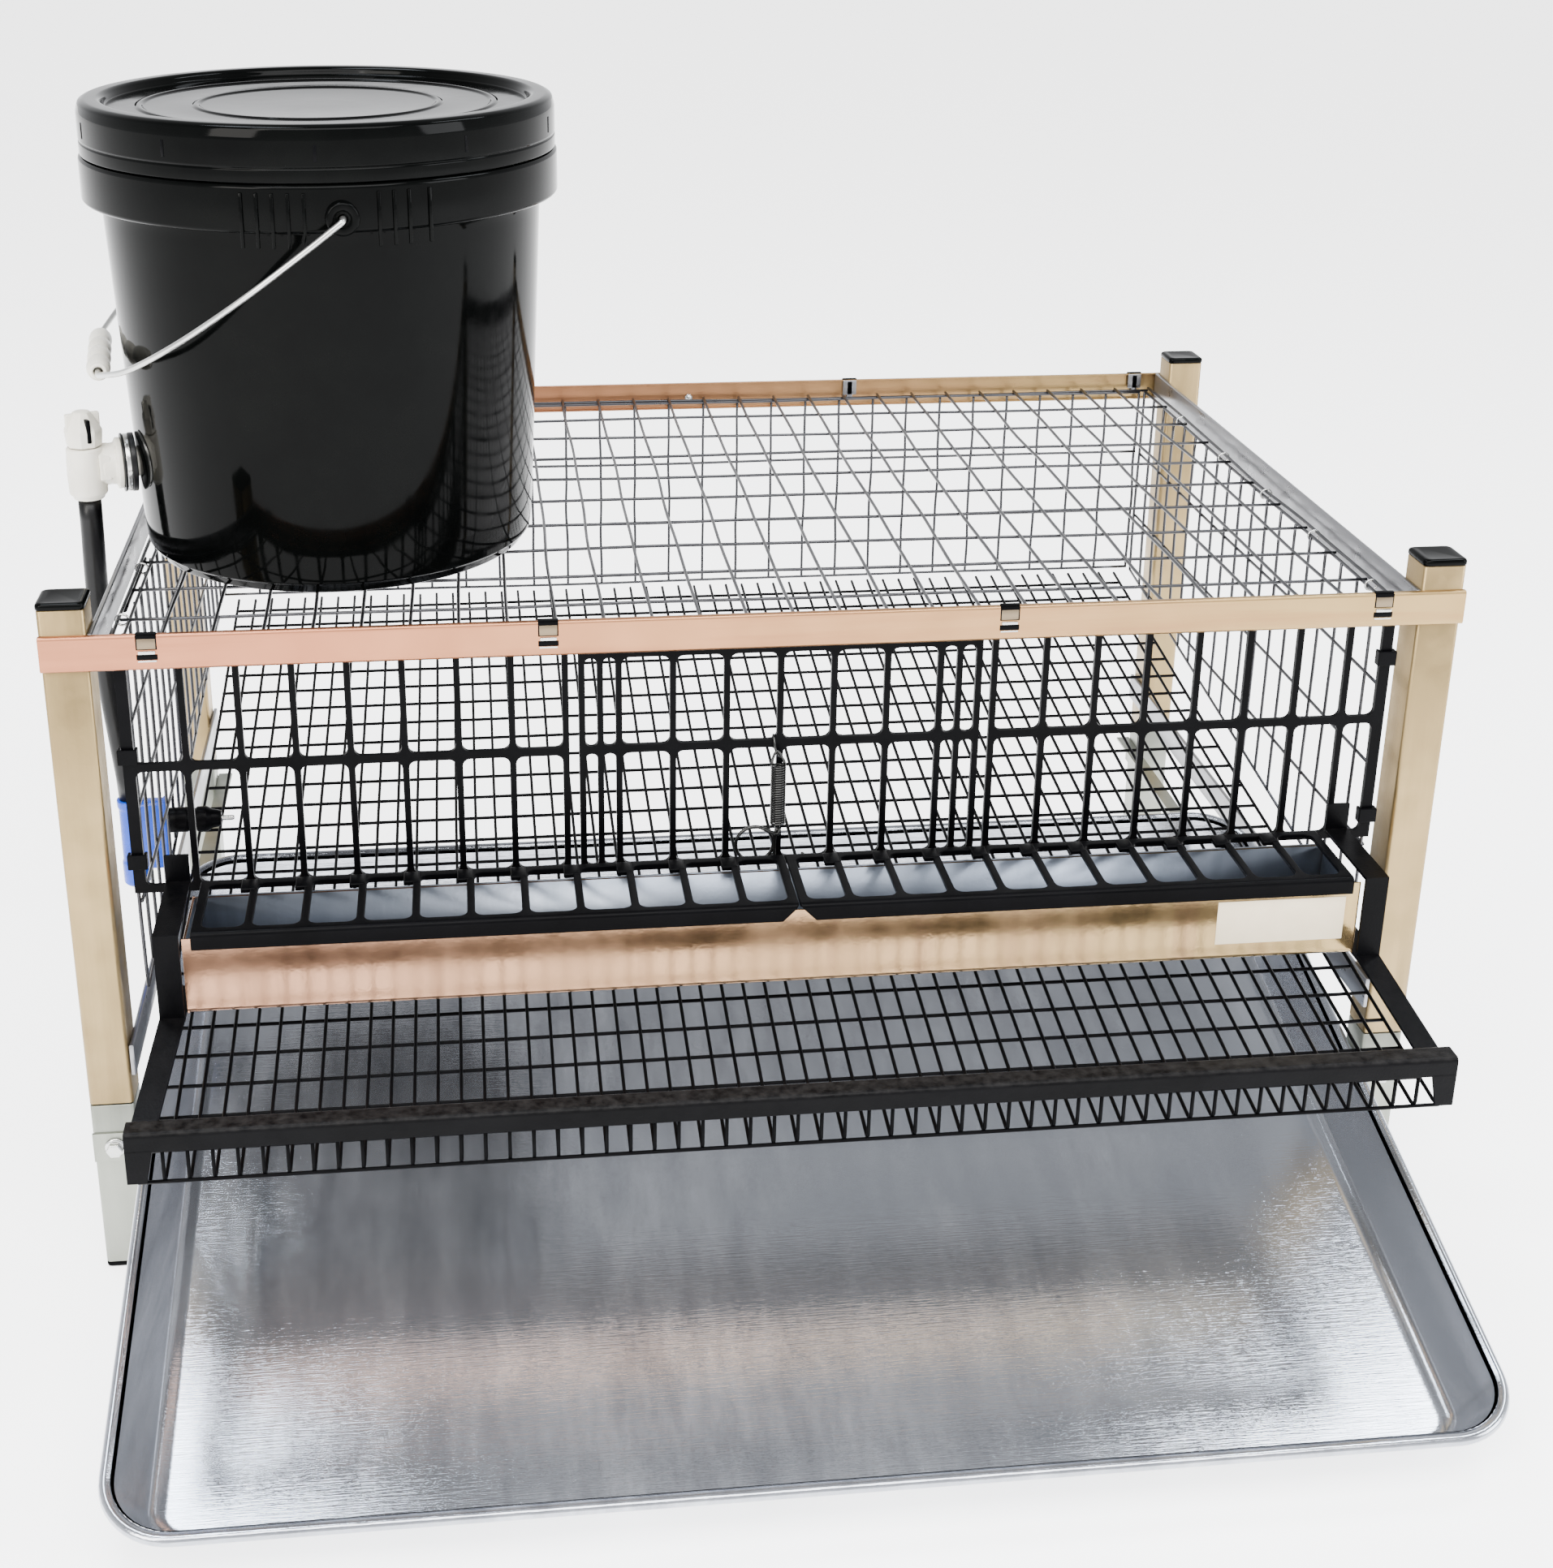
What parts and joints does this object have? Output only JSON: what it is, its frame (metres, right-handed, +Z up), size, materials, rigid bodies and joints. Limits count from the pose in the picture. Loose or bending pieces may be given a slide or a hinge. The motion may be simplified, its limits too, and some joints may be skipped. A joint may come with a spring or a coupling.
{
  "type": "wire quail cage",
  "caption": "Wire quail cage on four legs with a barred feeding front, feed trough, egg tray, droppings pan and a bucket drinker on the roof.",
  "frame": {"origin": "on the ground under the middle of the whole outline, hose left out", "axes": "+X to the right, +Y to the rear, +Z up; the feeding side faces -Y"},
  "size_m": [0.8049, 0.7722, 0.669],
  "materials": {
    "galvanised_steel": "bright zinc coating, smooth",
    "galvanised_wire": "welded wire, dull zinc coating",
    "coated_wire": "black plastic-coated wire, satin",
    "black_steel": "black paint, satin, a little dusty",
    "black_plastic": "moulded, satin",
    "gloss_black_plastic": "moulded, glossy",
    "white_plastic": "moulded, creamy white",
    "blue_plastic": "moulded, glossy",
    "bright_wire": "bright drawn wire",
    "pan_aluminium": "bright rolled sheet with fine streaks",
    "black_rubber": "smooth black hose rubber"
  },
  "bodies": {
    "cage": {"post_front_left": "galvanised_steel", "post_front_right": "galvanised_steel", "post_rear_left": "galvanised_steel", "post_rear_right": "galvanised_steel", "leg_front_left": "galvanised_steel", "leg_front_right": "galvanised_steel", "leg_rear_left": "galvanised_steel", "leg_rear_right": "galvanised_steel", "rail_front": "galvanised_steel", "rail_rear": "galvanised_steel", "rail_left": "galvanised_steel", "rail_right": "galvanised_steel", "lower_rail_left": "galvanised_steel", "lower_rail_right": "galvanised_steel", "runner_left": "galvanised_steel", "runner_right": "galvanised_steel", "cap_front_left": "black_plastic", "foot_front_left": "black_plastic", "cap_front_right": "black_plastic", "foot_front_right": "black_plastic", "cap_rear_left": "black_plastic", "foot_rear_left": "black_plastic", "cap_rear_right": "black_plastic", "foot_rear_right": "black_plastic", "roof_panel": "galvanised_wire", "rear_panel": "galvanised_wire", "side_panel_left": "galvanised_wire", "side_panel_right": "galvanised_wire", "floor_panel": "coated_wire", "floor_lip": "coated_wire", "tray_channel": "black_steel", "bracket_left": "black_steel", "bracket_right": "black_steel", "grille_left": "black_plastic", "grille_right": "black_plastic", "clip_left_upper": "black_plastic", "clip_left_lower": "black_plastic", "clip_right_upper": "black_plastic", "clip_right_lower": "black_plastic", "nipple_body": "black_plastic", "runner_screw_left": "bright_wire", "runner_screw_right": "bright_wire", "door_rod": "bright_wire", "bucket": "gloss_black_plastic", "bucket_bottom": "gloss_black_plastic", "valve_body": "white_plastic", "drinker_body": "blue_plastic", "hose": "black_rubber"},
    "door": {"front_door": "black_plastic"},
    "latch_spring": {"latch_spring": "bright_wire"},
    "latch_ring": {"latch_ring": "bright_wire"},
    "pan": {"droppings_pan": "pan_aluminium"},
    "trough": {"feed_trough": "galvanised_steel"},
    "cover_left": {"cover_left": "black_plastic"},
    "cover_right": {"cover_right": "black_plastic"},
    "lid": {"bucket_lid": "gloss_black_plastic"},
    "bail": {"bail": "bright_wire"},
    "bail_grip": {"bail_grip": "white_plastic"},
    "valve_lever": {"valve_lever": "white_plastic"},
    "nipple_pin": {"nipple_pin": "bright_wire"}
  },
  "joints": [
    {"name": "pan_slide", "type": "slide", "parent": "cage", "child": "pan", "axis": [0, 0.9686, 0.2487], "range_m": [0, 0.26]},
    {"name": "door_swing", "type": "hinge", "parent": "cage", "child": "door", "pos_m": [0.00168, -0.1128, 0.39], "axis": [1, 0, 0], "range_deg": [0, 80]},
    {"name": "latch_swing", "type": "hinge", "parent": "door", "child": "latch_spring", "pos_m": [0.00418, -0.1128, 0.3305], "axis": [0, 1, 0], "range_deg": [0, 25]},
    {"name": "latch_pull", "type": "slide", "parent": "latch_spring", "child": "latch_ring", "axis": [0, 0, -1], "range_m": [0, 0.008], "stiffness_N_per_m": 500, "springref_m": -0.002},
    {"name": "trough_lift", "type": "slide", "parent": "cage", "child": "trough", "axis": [0, 0, 1], "range_m": [0, 0.04]},
    {"name": "cover_left_lift", "type": "slide", "parent": "trough", "child": "cover_left", "axis": [0, 0, 1], "range_m": [0, 0.05]},
    {"name": "cover_right_lift", "type": "slide", "parent": "trough", "child": "cover_right", "axis": [0, 0, 1], "range_m": [0, 0.05]},
    {"name": "lid_lift", "type": "slide", "parent": "cage", "child": "lid", "axis": [0, 0, 1], "range_m": [0, 0.08]},
    {"name": "bail_swing", "type": "hinge", "parent": "cage", "child": "bail", "pos_m": [-0.24532, 0.0722, 0.6205], "axis": [-0.1253, 0.9921, 0], "range_deg": [0, 250]},
    {"name": "grip_spin", "type": "hinge", "parent": "bail", "child": "bail_grip", "pos_m": [-0.38045, 0.05513, 0.52045], "axis": [-0.1253, 0.9921, 0], "continuous": true},
    {"name": "valve_turn", "type": "hinge", "parent": "cage", "child": "valve_lever", "pos_m": [-0.39117, 0.03718, 0.469], "axis": [0, 0, 1], "range_deg": [0, 90]},
    {"name": "nipple_push", "type": "slide", "parent": "cage", "child": "nipple_pin", "axis": [-1, 0, 0], "range_m": [0, 0.0015], "stiffness_N_per_m": 100, "springref_m": -0.002}
  ]
}
